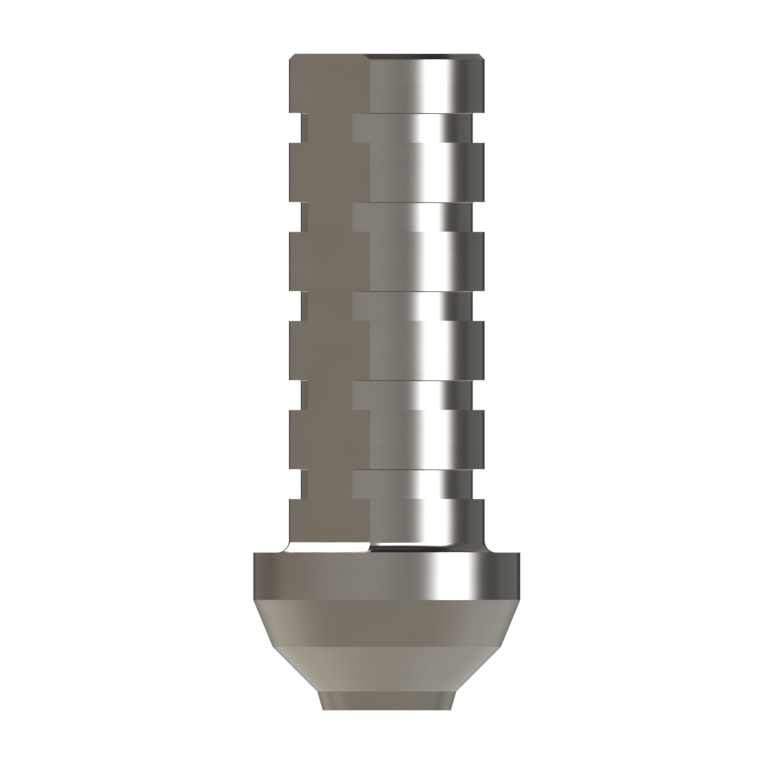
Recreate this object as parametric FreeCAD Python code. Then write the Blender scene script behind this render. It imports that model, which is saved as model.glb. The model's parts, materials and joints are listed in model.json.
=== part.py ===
# A temporary dental abutment: one sleeve turned from titanium bar, which a retaining screw
# holds in a dental implant while a provisional crown is worn.
#
# Millimetres, +Z up along the axis. The origin is the centre of the foot, the small ring
# face at the bottom that goes deepest into the implant. From the foot up, the outside is
# the connection cone, the seat cone, the emergence cone, the collar with its shelf, and a
# post with retention grooves. The post has one flat, which faces -Y, keeps the crown from
# turning, and runs out into the shelf in the same fillet as the round of the post. The
# screw channel goes right through. It is wide for the head down to a conical seat, and
# narrow for the thread below it.
import FreeCAD, Part
import math
import os

NODE = "temporary_abutment"

# The retaining screw that the channel is made for, and the free play round it.
THREAD_DIAMETER = 1.60
HEAD_DIAMETER = 2.10
SCREW_PLAY = 0.05
SCREW_SEAT_HEIGHT = 1.10
SCREW_SEAT_ANGLE = 45.0

# The post: its wall round the channel, its grooves, and the lands between them.
POST_WALL = 0.55
GROOVE_COUNT = 5
GROOVE_WIDTH = 0.50
GROOVE_DEPTH = 0.20
TOP_LAND = 1.00
MIDDLE_LAND = 1.00
BOTTOM_LAND = 0.90
FLAT_DEPTH = 0.30
BASE_FILLET = 0.20

# The collar and the three cones under it. Each angle is between the cone and the axis.
SHELF_WIDTH = 0.60
COLLAR_HEIGHT = 0.80
EMERGENCE_HEIGHT = 0.79
EMERGENCE_ANGLE = 22.5
SEAT_ANGLE = 45.0
CONNECTION_HEIGHT = 0.32
CONNECTION_ANGLE = 16.0
FOOT_WALL = 0.23

# Chamfers at the rim and at the two mouths of the channel.
RIM_CHAMFER = 0.10
CHANNEL_CHAMFER = 0.05
FOOT_CHAMFER = 0.03

AXIS_POINT = FreeCAD.Vector(0, 0, 0)
AXIS = FreeCAD.Vector(0, 0, 1)


def widening(height, angle):
    """How much a cone's radius grows over a height."""
    return height * math.tan(math.radians(angle))


def rise(growth, angle):
    """The height over which a cone's radius grows by that much."""
    return growth / math.tan(math.radians(angle))


# Radii and distances from the axis, each from what it goes round.
shank_radius = THREAD_DIAMETER / 2 + SCREW_PLAY
channel_radius = HEAD_DIAMETER / 2 + SCREW_PLAY
post_radius = channel_radius + POST_WALL
groove_radius = post_radius - GROOVE_DEPTH
flat_distance = post_radius - FLAT_DEPTH
collar_radius = post_radius + SHELF_WIDTH
emergence_radius = collar_radius - widening(EMERGENCE_HEIGHT, EMERGENCE_ANGLE)
foot_radius = shank_radius + FOOT_WALL
connection_radius = foot_radius + widening(CONNECTION_HEIGHT, CONNECTION_ANGLE)

# Levels, from the foot up.
seat_bottom = CONNECTION_HEIGHT
seat_top = seat_bottom + rise(emergence_radius - connection_radius, SEAT_ANGLE)
collar_bottom = seat_top + EMERGENCE_HEIGHT
shelf = collar_bottom + COLLAR_HEIGHT
fillet_top = shelf + BASE_FILLET
first_groove = shelf + BOTTOM_LAND
groove_pitch = GROOVE_WIDTH + MIDDLE_LAND
rim = first_groove + GROOVE_COUNT * groove_pitch - MIDDLE_LAND + TOP_LAND
screw_seat_top = SCREW_SEAT_HEIGHT + rise(channel_radius - shank_radius, SCREW_SEAT_ANGLE)


def in_section(distance, level):
    """A point of the section that is turned round the axis."""
    return FreeCAD.Vector(distance, 0, level)


def in_mill_path(distance, level):
    """The same point on the flat's side, at the place where the mill enters."""
    return FreeCAD.Vector(-collar_radius, -distance, level)


def path(points):
    """The straight edges from each point to the next."""
    return [Part.LineSegment(start, end).toShape() for start, end in zip(points, points[1:])]


def base_fillet(place, wall):
    """The quarter circle between a wall of the post and the shelf."""
    sunk = BASE_FILLET * (1 - math.sqrt(0.5))
    return Part.Arc(
        place(wall, fillet_top),
        place(wall + sunk, shelf + sunk),
        place(wall + BASE_FILLET, shelf),
    ).toShape()


def implant_side():
    """From the foot, over the three cones and the collar, to where the fillet starts."""
    return path([
        in_section(shank_radius + FOOT_CHAMFER, 0),
        in_section(foot_radius, 0),
        in_section(connection_radius, seat_bottom),
        in_section(emergence_radius, seat_top),
        in_section(collar_radius, collar_bottom),
        in_section(collar_radius, shelf),
        in_section(post_radius + BASE_FILLET, shelf),
    ])


def post_side():
    """From the top of the fillet, in and out of every groove, up to the rim."""
    points = [in_section(post_radius, fillet_top)]
    for number in range(GROOVE_COUNT):
        bottom = first_groove + number * groove_pitch
        top = bottom + GROOVE_WIDTH
        points += [
            in_section(post_radius, bottom),
            in_section(groove_radius, bottom),
            in_section(groove_radius, top),
            in_section(post_radius, top),
        ]
    points.append(in_section(post_radius, rim - RIM_CHAMFER))
    points.append(in_section(post_radius - RIM_CHAMFER, rim))
    return path(points)


def channel_side():
    """From the rim, down the channel and the screw's seat, back to the foot."""
    return path([
        in_section(post_radius - RIM_CHAMFER, rim),
        in_section(channel_radius + CHANNEL_CHAMFER, rim),
        in_section(channel_radius, rim - CHANNEL_CHAMFER),
        in_section(channel_radius, screw_seat_top),
        in_section(shank_radius, SCREW_SEAT_HEIGHT),
        in_section(shank_radius, FOOT_CHAMFER),
        in_section(shank_radius + FOOT_CHAMFER, 0),
    ])


def turned_sleeve():
    """The sleeve as it leaves the lathe: its whole section, turned round the axis."""
    fillet = base_fillet(in_section, post_radius)
    section = Part.Wire(implant_side() + [fillet] + post_side() + channel_side())
    return Part.Face(section).revolve(AXIS_POINT, AXIS, 360)


def flat_cut():
    """The metal that the mill clears for the flat, from the rim down to the shelf.

    It reaches twice as far out and up as the sleeve does, so that nothing is left standing.
    """
    outside = 2 * collar_radius
    above = 2 * rim
    clearance = path([
        in_mill_path(flat_distance + BASE_FILLET, shelf),
        in_mill_path(outside, shelf),
        in_mill_path(outside, above),
        in_mill_path(flat_distance, above),
        in_mill_path(flat_distance, fillet_top),
    ])
    section = Part.Wire([base_fillet(in_mill_path, flat_distance)] + clearance)
    return Part.Face(section).extrude(FreeCAD.Vector(2 * collar_radius, 0, 0))


def temporary_abutment():
    return turned_sleeve().cut(flat_cut()).removeSplitter()


os.makedirs("parts", exist_ok=True)
temporary_abutment().exportStep(f"parts/{NODE}.step")
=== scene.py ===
# The looks of a temporary dental abutment, a sleeve turned from titanium bar.
#
# Metres, +Z up along the axis, with the origin in the centre of the foot. The sleeve is turned
# as on a lathe: one ring of points goes round the axis and is drawn along the whole section.
# Then the flat, which faces -Y, is milled off the post. It stands in a pale tent, as shiny
# metal does when it is photographed, and mirrors the tent's grey cloth and its soft lamps.
import json
import math

import bmesh
import bpy
from mathutils import Matrix, Vector


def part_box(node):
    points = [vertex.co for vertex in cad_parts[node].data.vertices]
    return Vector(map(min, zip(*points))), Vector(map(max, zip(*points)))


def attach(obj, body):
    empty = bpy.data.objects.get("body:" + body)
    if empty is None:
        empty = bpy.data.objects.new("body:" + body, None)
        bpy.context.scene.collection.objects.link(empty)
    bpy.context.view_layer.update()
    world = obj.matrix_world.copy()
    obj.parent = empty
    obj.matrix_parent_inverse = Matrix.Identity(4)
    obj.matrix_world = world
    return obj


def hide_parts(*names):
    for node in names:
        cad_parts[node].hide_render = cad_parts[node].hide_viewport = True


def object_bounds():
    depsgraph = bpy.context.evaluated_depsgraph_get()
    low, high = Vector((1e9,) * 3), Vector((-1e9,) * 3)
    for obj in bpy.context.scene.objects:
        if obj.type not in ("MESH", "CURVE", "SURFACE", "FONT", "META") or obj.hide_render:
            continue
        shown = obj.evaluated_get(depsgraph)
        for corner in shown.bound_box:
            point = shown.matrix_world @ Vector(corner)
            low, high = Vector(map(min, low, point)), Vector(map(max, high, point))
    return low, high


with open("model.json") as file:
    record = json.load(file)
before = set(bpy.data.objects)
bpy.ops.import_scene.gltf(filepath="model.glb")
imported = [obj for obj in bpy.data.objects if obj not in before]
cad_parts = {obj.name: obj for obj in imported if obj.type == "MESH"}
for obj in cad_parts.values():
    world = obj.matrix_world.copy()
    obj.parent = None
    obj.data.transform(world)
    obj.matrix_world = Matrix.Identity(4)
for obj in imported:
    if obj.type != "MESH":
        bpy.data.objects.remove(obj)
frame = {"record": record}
cad_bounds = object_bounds()

NODE = "temporary_abutment"
MM = 0.001

# Sizes that the frame gives: the two bores, the post, the flat, the shelf, the collar, the rim.
mounts = {mount["name"]: mount for mount in frame["record"]["mounts"]}
channel_radius = mounts["screw_channel"]["dims"]["r_mm"] * MM
shank_radius = mounts["screw_hole"]["dims"]["r_mm"] * MM
post_radius = mounts["post"]["dims"]["r_mm"] * MM
flat_distance = -mounts["indexing_flat"]["pos_m"][1]
shelf = mounts["shelf"]["pos_m"][2]
seat_bottom = mounts["implant_seat"]["pos_m"][2]
collar_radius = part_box(NODE)[1].x
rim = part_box(NODE)[1].z

# Sizes of the post's grooves, lands and fillets.
GROOVE_COUNT = 5
GROOVE_WIDTH = 0.50 * MM
GROOVE_DEPTH = 0.20 * MM
LAND = 1.00 * MM
BOTTOM_LAND = 0.90 * MM
BASE_FILLET = 0.20 * MM

# Sizes of the collar and of the cones under it. The angles are measured from the axis.
COLLAR_HEIGHT = 0.80 * MM
EMERGENCE_HEIGHT = 0.79 * MM
EMERGENCE_ANGLE = math.radians(22.5)
CONNECTION_ANGLE = math.radians(16)
FOOT_WALL = 0.23 * MM

# Sizes of the screw's seat and of the chamfers.
SCREW_SEAT_HEIGHT = 1.10 * MM
RIM_CHAMFER = 0.10 * MM
CHANNEL_CHAMFER = 0.05 * MM
FOOT_CHAMFER = 0.03 * MM

# The tool's nose leaves this radius at the top of every groove.
NOSE_RADIUS = 0.02 * MM

# Two places that are nearer than this are the same place.
SAME_PLACE = 0.001 * MM
MERGE_DISTANCE = 0.0005 * MM

# How finely the sleeve is turned: 312 columns put the flat's edges half-way between two.
COLUMNS = 312
FILLET_STEPS = 16
NOSE_STEPS = 8

# Edges that turn by more than the crease stay sharp, and large faces lead the shading.
CREASE = math.radians(14)
FACE_WEIGHT = 50

# A face belongs to the channel when its normal leans towards the axis by more than this.
INWARD_LEAN = 0.1

groove_radius = post_radius - GROOVE_DEPTH
emergence_radius = collar_radius - EMERGENCE_HEIGHT * math.tan(EMERGENCE_ANGLE)
foot_radius = shank_radius + FOOT_WALL
connection_radius = foot_radius + seat_bottom * math.tan(CONNECTION_ANGLE)
collar_bottom = shelf - COLLAR_HEIGHT
seat_top = collar_bottom - EMERGENCE_HEIGHT
groove_pitch = GROOVE_WIDTH + LAND
screw_seat_top = SCREW_SEAT_HEIGHT + (channel_radius - shank_radius)


# Modelling helpers

def deselect_objects():
    for other in bpy.context.selected_objects:
        other.select_set(False)


def activate(piece):
    """Selects one piece alone and makes it the active one."""
    deselect_objects()
    piece.select_set(True)
    bpy.context.view_layer.objects.active = piece


def edit(piece):
    """Enters edit mode on one piece alone, with nothing of it selected."""
    activate(piece)
    bpy.ops.object.mode_set(mode="EDIT")
    bpy.ops.mesh.select_all(action="DESELECT")


def leave_edit():
    bpy.ops.object.mode_set(mode="OBJECT")


def select(piece, kind, wanted):
    """Selects the vertices, edges or faces of a piece in edit mode that the test wants."""
    bpy.ops.mesh.select_all(action="DESELECT")
    bpy.ops.mesh.select_mode(type={"verts": "VERT", "edges": "EDGE", "faces": "FACE"}[kind])
    mesh = bmesh.from_edit_mesh(piece.data)
    for element in getattr(mesh, kind):
        if wanted(element):
            element.select_set(True)
    mesh.select_flush_mode()
    bmesh.update_edit_mesh(piece.data)


def apply_modifier(piece, name, kind, settings):
    activate(piece)
    modifier = piece.modifiers.new(name, kind)
    for setting, value in settings.items():
        setattr(modifier, setting, value)
    bpy.ops.object.modifier_apply(modifier=name)


def radius_of(point):
    return math.hypot(point.x, point.y)


# The section, from the foot's inner edge over the outside and back down the channel

def section():
    """The corners of the turned section, each with its distance from the axis, its level,
    and how the corner is finished: None leaves it sharp."""
    corners = [
        (foot_radius, 0, None),
        (connection_radius, seat_bottom, None),
        (emergence_radius, seat_top, None),
        (collar_radius, collar_bottom, None),
        (collar_radius, shelf, None),
        (post_radius, shelf, "fillet"),
    ]
    for number in range(GROOVE_COUNT):
        bottom = shelf + BOTTOM_LAND + number * groove_pitch
        top = bottom + GROOVE_WIDTH
        corners += [
            (post_radius, bottom, None),
            (groove_radius, bottom, None),
            (groove_radius, top, "nose"),
            (post_radius, top, None),
        ]
    corners += [
        (post_radius, rim - RIM_CHAMFER, None),
        (post_radius - RIM_CHAMFER, rim, None),
        (channel_radius + CHANNEL_CHAMFER, rim, None),
        (channel_radius, rim - CHANNEL_CHAMFER, None),
        (channel_radius, screw_seat_top, None),
        (shank_radius, SCREW_SEAT_HEIGHT, None),
        (shank_radius, FOOT_CHAMFER, None),
        (shank_radius + FOOT_CHAMFER, 0, None),
    ]
    return corners


# How each finish rounds its corner: by what radius, and in how many steps. A bevel's profile
# is a quarter circle at one half.
ROUND_PROFILE = 0.5
FINISHES = {
    "nose": (NOSE_RADIUS, NOSE_STEPS),
    "fillet": (BASE_FILLET, FILLET_STEPS),
}


def turn_sleeve():
    """Draws a ring along the section, closes it, and finishes the corners."""
    corners = section()
    first_radius, first_level, _ = corners[0]
    deselect_objects()
    bpy.ops.mesh.primitive_circle_add(
        vertices=COLUMNS, radius=first_radius, location=(0, 0, first_level)
    )
    piece = bpy.context.object
    piece.name = piece.data.name = "abutment_sleeve"
    edit(piece)
    bpy.ops.mesh.select_all(action="SELECT")
    radius, level = first_radius, first_level
    for next_radius, next_level, _ in corners[1:] + corners[:1]:
        bpy.ops.mesh.extrude_edges_move(
            TRANSFORM_OT_translate={"value": (0, 0, next_level - level)}
        )
        growth = next_radius / radius
        bpy.ops.transform.resize(value=(growth, growth, 1), center_override=(0, 0, 0))
        radius, level = next_radius, next_level
    bpy.ops.mesh.select_all(action="SELECT")
    bpy.ops.mesh.remove_doubles(threshold=MERGE_DISTANCE)
    bpy.ops.mesh.normals_make_consistent(inside=False)
    for finish, (size, steps) in FINISHES.items():
        places = [(radius, level) for radius, level, kind in corners if kind == finish]
        select(piece, "edges", lambda edge: is_ring(edge, places))
        bpy.ops.mesh.bevel(
            offset_type="OFFSET", offset=size, segments=steps, profile=ROUND_PROFILE,
            affect="EDGES", clamp_overlap=True,
        )
    leave_edit()
    return piece


def is_ring(edge, places):
    """Whether an edge goes round the axis at one of these places of the section."""
    ends = [(radius_of(vertex.co), vertex.co.z) for vertex in edge.verts]
    return any(
        all(math.dist(end, place) < SAME_PLACE for end in ends) for place in places
    )


def flat_cutter():
    """What the mill clears off the post: a block over the shelf with one rounded edge."""
    reach = 2 * collar_radius
    height = 3 * reach
    deselect_objects()
    bpy.ops.mesh.primitive_cube_add(
        size=1,
        location=(0, -flat_distance - reach / 2, shelf + height / 2),
        scale=(reach, reach, height),
    )
    cutter = bpy.context.object
    cutter.name = "flat_cutter"
    bpy.ops.object.transform_apply(location=True, rotation=True, scale=True)
    edit(cutter)

    def inner_lower_edge(edge):
        return all(
            abs(vertex.co.y + flat_distance) < SAME_PLACE
            and abs(vertex.co.z - shelf) < SAME_PLACE
            for vertex in edge.verts
        )

    select(cutter, "edges", inner_lower_edge)
    bpy.ops.mesh.bevel(
        offset_type="OFFSET", offset=BASE_FILLET, segments=FILLET_STEPS, profile=ROUND_PROFILE,
        affect="EDGES", clamp_overlap=False,
    )
    # A seam down the middle leaves only one way to divide each strip of the fillet, so that the
    # flat comes out the same in every run.
    bpy.ops.mesh.select_all(action="SELECT")
    bpy.ops.mesh.bisect(plane_co=(0, 0, 0), plane_no=(1, 0, 0))
    leave_edit()
    return cutter


def mill_flat(piece):
    """Takes the cutter away from the sleeve."""
    cutter = flat_cutter()
    cutter.data.materials.append(piece.data.materials["milled flat"])
    apply_modifier(
        piece, "flat", "BOOLEAN",
        {"object": cutter, "operation": "DIFFERENCE", "solver": "EXACT",
         "material_mode": "TRANSFER"},
    )
    bpy.data.objects.remove(cutter)


def ream_channel(piece):
    """Gives every face that looks towards the axis the finish of the channel."""

    def looks_inwards(face):
        centre = face.calc_center_median()
        outwards = face.normal.x * centre.x + face.normal.y * centre.y
        return outwards < -INWARD_LEAN * radius_of(centre)

    edit(piece)
    select(piece, "faces", looks_inwards)
    piece.active_material_index = piece.data.materials.find("reamed channel")
    bpy.ops.object.material_slot_assign()
    leave_edit()


def shade(piece):
    """Rounds look round and corners stay crisp."""
    activate(piece)
    bpy.ops.object.shade_smooth_by_angle(angle=CREASE, keep_sharp_edges=True)
    apply_modifier(
        piece, "face weights", "WEIGHTED_NORMAL",
        {"keep_sharp": True, "weight": FACE_WEIGHT},
    )


# Shader helpers

# The sockets of a Mix node that blends colours.
MIX_FIRST, MIX_SECOND = 6, 7
MIX_RESULT = 2


class Wire:
    """An output socket. Python's own operators on it add the Math nodes."""

    def __init__(self, shader, socket):
        self.shader = shader
        self.socket = socket

    def maths(self, operation, *values):
        sockets = dict(enumerate(values))
        return self.shader.node("Math", {"operation": operation}, sockets).out()

    def __add__(self, other):
        return self.maths("ADD", self, other)

    def __sub__(self, other):
        return self.maths("SUBTRACT", self, other)

    def __rsub__(self, other):
        return self.maths("SUBTRACT", other, self)

    def __mul__(self, other):
        return self.maths("MULTIPLY", self, other)

    def __truediv__(self, other):
        return self.maths("DIVIDE", self, other)

    __radd__ = __add__
    __rmul__ = __mul__


class Node:
    """A node of a shader, which gives its outputs as wires."""

    def __init__(self, shader, made):
        self.shader = shader
        self.made = made

    def out(self, name=0):
        return Wire(self.shader, self.made.outputs[name])


class Shader:
    """A node tree that starts empty."""

    def __init__(self, tree):
        self.tree = tree
        tree.nodes.clear()

    def node(self, kind, settings=None, sockets=None):
        """Adds a node, first its settings and then the values or wires of its sockets."""
        made = self.tree.nodes.new("ShaderNode" + kind)
        for name, value in (settings or {}).items():
            setattr(made, name, value)
        for name, value in (sockets or {}).items():
            if isinstance(value, Wire):
                self.tree.links.new(value.socket, made.inputs[name])
            else:
                made.inputs[name].default_value = value
        return Node(self, made)

    def smooth(self, value, start, end):
        """Rises smoothly from 0 to 1 while the value goes from start to end."""
        return self.node(
            "MapRange", {"interpolation_type": "SMOOTHSTEP"},
            {"Value": value, "From Min": start, "From Max": end},
        ).out()

    def between(self, value, start, end, softness):
        """1 from start to end, with soft ends."""
        rising = self.smooth(value, start - softness, start + softness)
        falling = self.smooth(value, end + softness, end - softness)
        return rising * falling

    def mix(self, factor, first, second):
        """Blends two colours."""
        node = self.node(
            "Mix", {"data_type": "RGBA"},
            {0: factor, MIX_FIRST: first, MIX_SECOND: second},
        )
        return node.out(MIX_RESULT)


def new_material(name):
    material = bpy.data.materials.new(name)
    material.use_nodes = True
    return material, Shader(material.node_tree)


# Titanium

TITANIUM_LIGHT = (0.470, 0.432, 0.390, 1)
TITANIUM_DARK = (0.435, 0.399, 0.360, 1)

# What a tool leaves: its feed from mark to mark in millimetres, the roughness of the metal, and
# how deep the marks are. The mill's passes are a little aslant.
TURNING = {"feed": 0.03, "roughness": 0.13, "mark_depth": 0.00025 * MM}
MILLING = {"feed": 0.04, "roughness": 0.17, "mark_depth": 0.0003 * MM}
REAMING = {"feed": 0.05, "roughness": 0.28, "mark_depth": 0.0006 * MM}
MILL_SLANT = 0.02

# The metal varies with the marks, with bands of marks, and with a soft haze. Each of the three
# has its detail, its share in the colour, and the change that it makes to the roughness.
MARKS_IN_A_BAND = 12
HAZE_SCALE = 0.9 / MM
HAZE_DETAIL, BAND_DETAIL, MARK_DETAIL = 3.0, 2.0, 1.0
HAZE_SHARE, BAND_SHARE, MARK_SHARE = 0.6, 0.2, 0.2
HAZE_GLOSS, BAND_GLOSS, MARK_GLOSS = 0.05, 0.03, 0.04
NOISE_MEAN = 0.5
DARK_TO_LIGHT = (0.3, 0.7)


def titanium(name, along, feed, roughness, mark_depth):
    """Bare titanium with the fine marks that a tool leaves at each turn or pass.

    along(x, y, z) is the way in millimetres that the tool was fed, and feed is the way
    between two marks.
    """
    material, shader = new_material(name)
    place = shader.node("TexCoord").out("Object")
    axes = shader.node("SeparateXYZ", sockets={0: place})
    x, y, z = (axes.out(axis) / MM for axis in "XYZ")
    way = along(x, y, z)

    def stripes(spacing, detail):
        """Uneven stripes across the tool's way."""
        return shader.node(
            "TexNoise", {"noise_dimensions": "1D"},
            {"W": way / spacing, "Scale": 1.0, "Detail": detail},
        ).out(0)

    marks = stripes(feed, MARK_DETAIL)
    bands = stripes(MARKS_IN_A_BAND * feed, BAND_DETAIL)
    haze = shader.node(
        "TexNoise", {}, {"Vector": place, "Scale": HAZE_SCALE, "Detail": HAZE_DETAIL}
    ).out(0)
    patina = haze * HAZE_SHARE + bands * BAND_SHARE + marks * MARK_SHARE
    colour = shader.mix(shader.smooth(patina, *DARK_TO_LIGHT), TITANIUM_DARK, TITANIUM_LIGHT)
    gloss = (
        roughness
        + (haze - NOISE_MEAN) * HAZE_GLOSS
        + (bands - NOISE_MEAN) * BAND_GLOSS
        + (marks - NOISE_MEAN) * MARK_GLOSS
    )
    relief = shader.node(
        "Bump", {}, {"Height": marks, "Distance": mark_depth, "Strength": 1.0}
    ).out(0)
    metal = shader.node(
        "BsdfPrincipled", {},
        {"Base Color": colour, "Metallic": 1.0, "Roughness": gloss, "Normal": relief},
    ).out(0)
    shader.node("OutputMaterial", {}, {"Surface": metal})
    return material


def from_axis(x, y):
    """The distance from the axis of two wires."""
    return (x * x + y * y).maths("SQRT", x * x + y * y)


def along_section(x, y, z):
    """The way of a turning tool or a reamer: along the rounds and out over the faces."""
    return from_axis(x, y) + z


def along_flat(x, y, z):
    """The way of the mill, down the flat."""
    return z + x * MILL_SLANT


# Around the object

VIEW_AZIMUTH = math.radians(45)
TO_VIEWER = Vector((math.sin(VIEW_AZIMUTH), -math.cos(VIEW_AZIMUTH), 0))
TO_RIGHT = Vector((math.cos(VIEW_AZIMUTH), math.sin(VIEW_AZIMUTH), 0))

TENT_RADIUS = 250 * MM
TENT_SEGMENTS = 48
TENT_RINGS = 24
FLOOR_RADIUS = 60 * MM
FLOOR_GAP = 0.02 * MM
FLOOR_CORNERS = 96
FLOOR_PAINT = (0.75, 0.75, 0.75, 1)

# The shares of the floor's radius at which it starts to fade and is gone.
FADE_START = 0.5
FADE_END = 0.95

# Brightness of the tent's cloth, of its dark flags and of its lamps.
FRONT_CLOTH = (0.495, 0.495, 0.490, 1)
FRONT_RIGHT_CLOTH = (0.382, 0.385, 0.381, 1)
LAMPLIT_CLOTH = (0.48, 0.49, 0.50, 1)
LEFT_CLOTH = (0.379, 0.364, 0.330, 1)
REAR_LEFT_CLOTH = (0.258, 0.239, 0.217, 1)
REAR_RIGHT_CLOTH = (0.212, 0.218, 0.217, 1)
LOW_FRONT_CLOTH = (0.410, 0.396, 0.365, 1)
LOW_LEFT_CLOTH = (0.706, 0.690, 0.638, 1)
LOW_RIGHT_CLOTH = (0.622, 0.630, 0.617, 1)
SIDE_FLAG = (0.145, 0.150, 0.148, 1)
REAR_FLAG = (0.05, 0.05, 0.05, 1)
CEILING = (0.055, 0.055, 0.055, 1)
ROOF = (0.12, 0.12, 0.12, 1)
REAR_ROOF = (1.8, 1.8, 1.8, 1)
LAMP = (2.70, 2.88, 3.12, 1)
WINDOW = (6.0, 6.0, 6.0, 1)

# All angles of the tent are in degrees, seen from the object. A front angle goes from straight
# in front round to the right, a back angle from straight behind round to the left, and a height
# up from the level.

# Where one cloth starts and ends to go over into the next.
LEFT_TO_FRONT = (-92, -28)
FRONT_TO_RIGHT = (-12, 22)
RIGHT_TO_LAMPLIT = (22, 33)
LAMPLIT_HEIGHTS = (-25, -5)
REAR_RIGHT_TO_LEFT = (-30, 30)
LEVEL_TO_LOW = (-1, -19)
LEVEL_TO_CEILING = (48, 54)
CEILING_TO_ROOF = (62, 85)

# Where a cloth, a flag or a lamp starts and ends, and how soft its ends are.
REAR_ANGLES = (-94, 72, 14)
SIDE_FLAG_ANGLES = (-115, -68, 5)
REAR_FLAG_ANGLES = (-26, 21, 5)
REAR_FLAG_HEIGHTS = (-2, 10, 4)
REAR_ROOF_ANGLES = (-8, 100, 14)
REAR_ROOF_HEIGHTS = (30, 68, 10)
TOP_LAMP_ANGLES = (-11, 84, 5)
TOP_LAMP_HEIGHTS = (25, 48, 3)
SIDE_LAMP_HEIGHTS = (-8, 26, 4)

# The top lamp sinks by this much for each degree to the right.
TOP_LAMP_SLOPE = 0.08

# The side lamp is brightest between the end of its left edge and the end of its right one.
SIDE_LAMP_LEFT = (23.4, 51.4)
SIDE_LAMP_RIGHT = (94.4, 69.4)

# The window behind is an arch round the way out beside the flat.
BESIDE_FLAT = (-1, 0, 0)
WINDOW_ARCH = (42, 48, 2)
WINDOW_ANGLES = (18, 90, 2)
WINDOW_SILL = (13.5, 17)

# The low cloth is paler behind than in front, turned by this much, and differs from left to
# right. These two spans aren't angles, but cosines of the angle to the front and to the right.
LOW_TURN = math.radians(9)
LOW_FRONT_TO_REAR = (0.5, -0.45)
LOW_LEFT_TO_RIGHT = (-0.3, 0.4)

# The low cloth's upper edge droops on both sides, and once more in the middle of the right one.
RIGHT_DROOP = 11
RIGHT_DROOP_START = (37, 73)
RIGHT_DROOP_END = (142, 100)
MIDDLE_DROOP = 9
MIDDLE_DROOP_ANGLES = (54, 83, 11)
LEFT_DROOP = 8
LEFT_DROOP_START = (-136, -112)
LEFT_DROOP_END = (-86, -100)


class TentPlace:
    """Where a place of the tent lies, seen from the object, as wires."""

    def __init__(self, shader):
        self.shader = shader
        place = shader.node("TexCoord").out("Object")
        self.way = shader.node("VectorMath", {"operation": "NORMALIZE"}, {0: place}).out()
        self.forward = self.along(TO_VIEWER)
        self.right = self.along(TO_RIGHT)
        up = self.along((0, 0, 1))
        self.front_angle = self.angle("ARCTAN2", self.right, self.forward)
        self.back_angle = self.angle("ARCTAN2", self.right * -1, self.forward * -1)
        self.height = self.angle("ARCSINE", up)

    def along(self, direction):
        """The share of the way that goes in this direction."""
        return self.shader.node(
            "VectorMath", {"operation": "DOT_PRODUCT"}, {0: self.way, 1: direction}
        ).out("Value")

    def angle(self, operation, *values):
        return values[0].maths(operation, *values) * math.degrees(1)


def level_cloth(shader, place):
    """The cloth round the object, pale in front and dark behind, with a flag at the side."""
    front, back = place.front_angle, place.back_angle
    colour = shader.mix(shader.smooth(front, *LEFT_TO_FRONT), LEFT_CLOTH, FRONT_CLOTH)
    colour = shader.mix(shader.smooth(front, *FRONT_TO_RIGHT), colour, FRONT_RIGHT_CLOTH)
    lamplit = (
        shader.smooth(front, *RIGHT_TO_LAMPLIT)
        * shader.smooth(place.height, *LAMPLIT_HEIGHTS)
    )
    colour = shader.mix(lamplit, colour, LAMPLIT_CLOTH)
    leftwards = shader.smooth(back, *REAR_RIGHT_TO_LEFT)
    rear = shader.mix(leftwards, REAR_RIGHT_CLOTH, REAR_LEFT_CLOTH)
    rear = shader.mix(shader.between(back, *SIDE_FLAG_ANGLES), rear, SIDE_FLAG)
    return shader.mix(shader.between(back, *REAR_ANGLES), colour, rear)


def low_cloth(shader, place, colour):
    """Adds the cloth under the level, with its drooping upper edge."""
    front = place.front_angle
    turned = place.forward * math.cos(LOW_TURN) - place.right * math.sin(LOW_TURN)
    rightwards = shader.smooth(place.right, *LOW_LEFT_TO_RIGHT)
    low = shader.mix(rightwards, LOW_LEFT_CLOTH, LOW_RIGHT_CLOTH)
    low = shader.mix(shader.smooth(turned, *LOW_FRONT_TO_REAR), LOW_FRONT_CLOTH, low)
    on_right = shader.smooth(front, *RIGHT_DROOP_START) * shader.smooth(front, *RIGHT_DROOP_END)
    in_middle = shader.between(front, *MIDDLE_DROOP_ANGLES)
    on_left = shader.smooth(front, *LEFT_DROOP_START) * shader.smooth(front, *LEFT_DROOP_END)
    droop = on_right * RIGHT_DROOP + in_middle * MIDDLE_DROOP + on_left * LEFT_DROOP
    return shader.mix(shader.smooth(place.height + droop, *LEVEL_TO_LOW), colour, low)


def flag_and_roof(shader, place, colour):
    """Adds the dark flag behind, the dark ceiling, and the bright roof at the rear."""
    back, height = place.back_angle, place.height
    rear_flag = (
        shader.between(back, *REAR_FLAG_ANGLES)
        * shader.between(height, *REAR_FLAG_HEIGHTS)
    )
    colour = shader.mix(rear_flag, colour, REAR_FLAG)
    top = shader.mix(shader.smooth(height, *CEILING_TO_ROOF), CEILING, ROOF)
    colour = shader.mix(shader.smooth(height, *LEVEL_TO_CEILING), colour, top)
    rear_roof = (
        shader.between(back, *REAR_ROOF_ANGLES)
        * shader.between(height, *REAR_ROOF_HEIGHTS)
    )
    return shader.mix(rear_roof, colour, REAR_ROOF)


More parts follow.
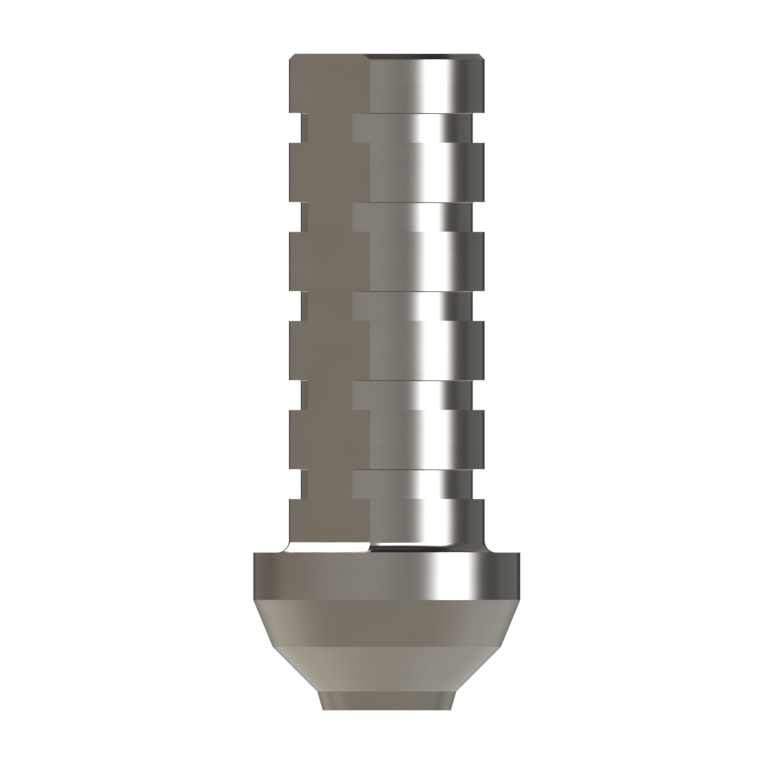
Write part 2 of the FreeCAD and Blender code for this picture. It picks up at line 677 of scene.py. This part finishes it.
def lamps(shader, place, colour):
    """Adds the lamps at the top and at the side, and the window behind."""
    front, height = place.front_angle, place.height
    top_lamp = (
        shader.between(front, *TOP_LAMP_ANGLES)
        * shader.between(height + front * TOP_LAMP_SLOPE, *TOP_LAMP_HEIGHTS)
    )
    colour = shader.mix(top_lamp, colour, LAMP)
    beam = shader.smooth(front, *SIDE_LAMP_LEFT) * shader.smooth(front, *SIDE_LAMP_RIGHT)
    side_lamp = beam * beam * shader.between(height, *SIDE_LAMP_HEIGHTS)
    colour = shader.mix(side_lamp, colour, LAMP)
    beside_flat = place.along(BESIDE_FLAT)
    arch = shader.between(place.angle("ARCCOSINE", beside_flat), *WINDOW_ARCH)
    window = (
        arch
        * shader.between(place.back_angle, *WINDOW_ANGLES)
        * shader.smooth(height, *WINDOW_SILL)
    )
    return shader.mix(window, colour, WINDOW)


def tent():
    """The tent's cloth, its lamps and its dark flags, which only the metal and floor see."""
    deselect_objects()
    bpy.ops.mesh.primitive_uv_sphere_add(
        segments=TENT_SEGMENTS, ring_count=TENT_RINGS, radius=TENT_RADIUS
    )
    cloth = bpy.context.object
    cloth.name = "studio_tent"
    bpy.ops.object.shade_smooth()
    cloth.visible_camera = False
    material, shader = new_material("tent cloth")
    place = TentPlace(shader)
    colour = level_cloth(shader, place)
    colour = low_cloth(shader, place, colour)
    colour = flag_and_roof(shader, place, colour)
    colour = lamps(shader, place, colour)
    glow = shader.node("Emission", {}, {"Color": colour, "Strength": 1.0}).out(0)
    shader.node("OutputMaterial", {}, {"Surface": glow})
    cloth.data.materials.append(material)
    material.cycles.emission_sampling = "NONE"


def floor():
    """A pale floor that fades into the white background, and is clear from below."""
    deselect_objects()
    bpy.ops.mesh.primitive_circle_add(
        vertices=FLOOR_CORNERS, radius=FLOOR_RADIUS, fill_type="TRIFAN",
        location=(0, 0, -FLOOR_GAP),
    )
    ground = bpy.context.object
    ground.name = "studio_floor"
    material, shader = new_material("pale floor")
    place = shader.node("TexCoord").out("Object")
    axes = shader.node("SeparateXYZ", sockets={0: place})
    distance = from_axis(axes.out("X"), axes.out("Y"))
    fade = shader.smooth(distance, FLOOR_RADIUS * FADE_START, FLOOR_RADIUS * FADE_END)
    below = shader.node("NewGeometry").out("Backfacing")
    paint = shader.node("BsdfDiffuse", {}, {"Color": FLOOR_PAINT}).out(0)
    clear = shader.node("BsdfTransparent").out(0)
    factor = fade.maths("MAXIMUM", fade, below)
    surface = shader.node("MixShader", {}, {0: factor, 1: paint, 2: clear}).out(0)
    shader.node("OutputMaterial", {}, {"Surface": surface})
    ground.data.materials.append(material)
    ground.visible_glossy = False


def background():
    world = bpy.data.worlds.new("white background")
    world.use_nodes = True
    shader = Shader(world.node_tree)
    white = shader.node("Background", {}, {"Color": (1, 1, 1, 1), "Strength": 1.0}).out(0)
    shader.node("OutputWorld", {}, {"Surface": white})
    bpy.context.scene.world = world


# The camera looks level and from afar, with the object a little right of and above the middle.
# Both shifts and the scale are measured in the photograph, whose frame is 768 pixels wide.
FRAME_PIXELS = 768
PIXELS_PER_MM = 59.38
OBJECT_SHIFT_RIGHT = 2.8
OBJECT_SHIFT_UP = 1.95
CAMERA_DISTANCE = 60 * MM
NEAREST_SEEN = 1 * MM
FARTHEST_SEEN = 1000 * MM


def camera():
    low, high = cad_bounds
    middle = (Vector(low) + Vector(high)) / 2
    pixel = MM / PIXELS_PER_MM
    target = middle - TO_RIGHT * OBJECT_SHIFT_RIGHT * pixel
    target.z -= OBJECT_SHIFT_UP * pixel
    lens = bpy.data.cameras.new("camera")
    lens.type = "ORTHO"
    lens.ortho_scale = FRAME_PIXELS * pixel
    lens.clip_start = NEAREST_SEEN
    lens.clip_end = FARTHEST_SEEN
    holder = bpy.data.objects.new("camera", lens)
    bpy.context.scene.collection.objects.link(holder)
    up = Vector((0, 0, 1))
    turned = Matrix((TO_RIGHT, up, TO_VIEWER)).transposed().to_4x4()
    holder.matrix_world = Matrix.Translation(target + TO_VIEWER * CAMERA_DISTANCE) @ turned
    bpy.context.scene.camera = holder


# Making it

camera()
background()
tent()
floor()

sleeve = turn_sleeve()
sleeve.data.materials.append(titanium("turned titanium", along_section, **TURNING))
sleeve.data.materials.append(titanium("milled flat", along_flat, **MILLING))
sleeve.data.materials.append(titanium("reamed channel", along_section, **REAMING))
mill_flat(sleeve)
ream_channel(sleeve)
shade(sleeve)

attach(sleeve, "root")
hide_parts(NODE)

bpy.context.scene.view_settings.view_transform = "Standard"
